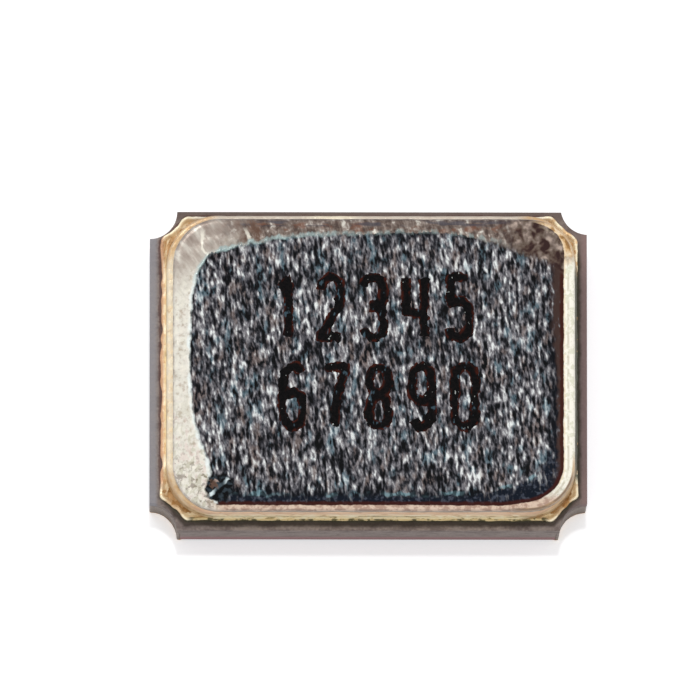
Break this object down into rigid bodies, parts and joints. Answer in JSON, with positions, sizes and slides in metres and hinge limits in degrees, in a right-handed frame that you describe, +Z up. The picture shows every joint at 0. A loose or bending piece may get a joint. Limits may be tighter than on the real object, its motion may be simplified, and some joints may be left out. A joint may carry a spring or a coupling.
{
  "type": "crystal oscillator",
  "caption": "Flat ceramic surface-mount crystal oscillator: notched grey tub with gold pads, brazed seal ring and seam-welded metal lid.",
  "frame": {"origin": "on the board plane, under the middle of the package", "axes": "+Z up through the lid, +X along the long side, terminal 1 at the corner of least X and Y"},
  "size_m": [0.0016, 0.0012, 0.0005],
  "materials": {
    "alumina": "matt, fine grained, grey with a purple cast",
    "gold_plating": "satin gold plate over fired tungsten, pebbled",
    "tungsten": "fired metal paste, dull grey",
    "silicon": "sawn and ground silicon, dark grey",
    "conductive_adhesive": "silver filled, matt",
    "quartz": "lapped, slightly frosted",
    "electrode_film": "evaporated gold film, bright",
    "braze": "silver-copper braze, flowed",
    "ring_plating": "thin gold flash over nickel, satin",
    "lid_metal": "nickel over rolled alloy, streaked, with a bright melted border"
  },
  "bodies": {
    "root": {"ceramic_base": "alumina", "terminal_1": "gold_plating", "terminal_2": "gold_plating", "terminal_3": "gold_plating", "terminal_4": "gold_plating", "terminal_vias": "tungsten", "ring_via": "tungsten", "floor_tracks": "gold_plating", "crystal_vias": "tungsten", "crystal_pad_1": "gold_plating", "crystal_pad_2": "gold_plating", "stud_bumps": "gold_plating", "oscillator_ic": "silicon", "mount_adhesive_1": "conductive_adhesive", "mount_adhesive_2": "conductive_adhesive", "quartz_blank": "quartz", "electrode_top": "electrode_film", "electrode_bottom": "electrode_film", "seal_metallisation": "gold_plating", "braze_joint": "braze", "seal_ring": "ring_plating", "lid": "lid_metal"}
  },
  "joints": []
}
